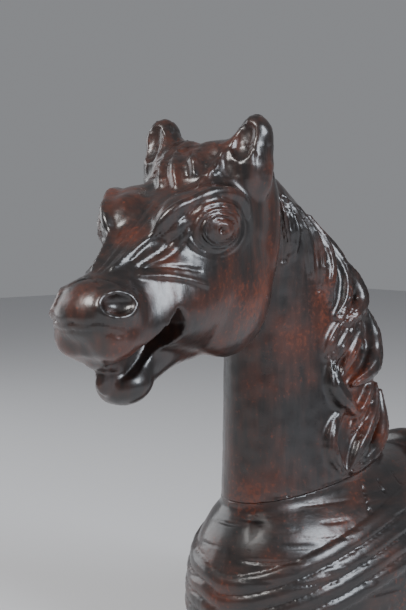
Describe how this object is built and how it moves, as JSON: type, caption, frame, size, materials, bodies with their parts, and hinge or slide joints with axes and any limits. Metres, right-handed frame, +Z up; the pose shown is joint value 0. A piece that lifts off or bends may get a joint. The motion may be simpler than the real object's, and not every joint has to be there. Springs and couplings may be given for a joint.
{
  "type": "carved wooden horse",
  "caption": "Bust of a dark carved wooden horse with an open mouth, ringed eyes, a side braid and a rolled collar, cut flat below to stand as an ornament.",
  "frame": {"origin": "on the flat underside, below the axis of the neck", "axes": "+Z up; the horse faces -Y, its left side, where the braid hangs, is +X"},
  "size_m": [0.1355, 0.3584, 0.3549],
  "materials": {
    "upright_grain_wood": "waxed, glossy, red-brown to black, worn to orange-red on high places",
    "level_grain_wood": "waxed, semi-gloss, near-black brown with level grain cracks"
  },
  "bodies": {
    "root": {"neck_and_head": "upright_grain_wood", "chest_and_shoulders": "level_grain_wood"}
  },
  "joints": []
}
